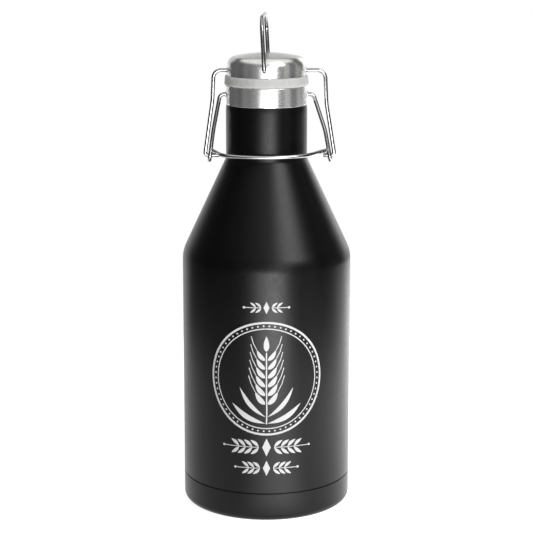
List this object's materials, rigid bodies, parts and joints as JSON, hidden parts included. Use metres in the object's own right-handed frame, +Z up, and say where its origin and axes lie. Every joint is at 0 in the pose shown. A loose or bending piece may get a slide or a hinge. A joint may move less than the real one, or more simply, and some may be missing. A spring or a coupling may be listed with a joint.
{
  "type": "swing-top growler",
  "caption": "Double-wall insulated steel growler with a tall cone shoulder, bare steel collar, swing-top wire closure and a domed lid with a carry loop.",
  "frame": {"origin": "centre of the bounding box's bottom: on the table, close to the vessel's axis", "axes": "+Z up along the vessel's axis; the decorated front, with the lever's bow, faces -Y; +X to the right seen from the front"},
  "size_m": [0.118, 0.118, 0.3456],
  "materials": {
    "black_coat": "matte powder coat",
    "brushed_steel": "brushed round the collar",
    "lid_steel": "brushed round the lid",
    "inner_steel": "satin",
    "seal_metal": "cast",
    "getter_metal": "sintered, dull",
    "socket_steel": "machined",
    "wire_steel": "polished wire",
    "plug_plastic": "satin",
    "foam": "cellular",
    "silicone": "matte, slightly translucent"
  },
  "bodies": {
    "vessel": {"outer_shell": "black_coat", "base_cup": "black_coat", "mouth_collar": "brushed_steel", "inner_vessel": "inner_steel", "inner_bottom": "inner_steel", "jacket_bottom": "inner_steel", "vacuum_seal": "seal_metal", "getter": "getter_metal", "lever_socket_left": "socket_steel", "lever_socket_right": "socket_steel"},
    "lever": {"swing_lever": "wire_steel"},
    "bail": {"lid_bail": "wire_steel"},
    "lid": {"lid_cap": "lid_steel", "bail_tube": "socket_steel", "loop_socket_front": "socket_steel", "loop_socket_rear": "socket_steel", "lid_plug": "plug_plastic", "lid_foam": "foam", "lid_gasket": "silicone"},
    "loop": {"carry_loop": "wire_steel"}
  },
  "joints": [
    {"name": "lever_swing", "type": "hinge", "parent": "vessel", "child": "lever", "pos_m": [0, 0, 0.2901], "axis": [-1, 0, 0], "range_deg": [0, 135]},
    {"name": "bail_swing", "type": "hinge", "parent": "lever", "child": "bail", "pos_m": [0, 0.0004, 0.2474], "axis": [-1, 0, 0], "range_deg": [-48, 0]},
    {"name": "lid_tilt", "type": "hinge", "parent": "bail", "child": "lid", "pos_m": [0, 0, 0.3067], "axis": [-1, 0, 0], "range_deg": [-88, 0]},
    {"name": "carry_loop_swing", "type": "hinge", "parent": "lid", "child": "loop", "pos_m": [0, 0, 0.3082], "axis": [0.0506, 0.9987, 0], "range_deg": [-81.8, 88.2]}
  ],
  "couplings": [
    {"joint": "bail_swing", "follows": "lever_swing", "ratio": -0.35},
    {"joint": "lid_tilt", "follows": "lever_swing", "ratio": -0.65}
  ]
}
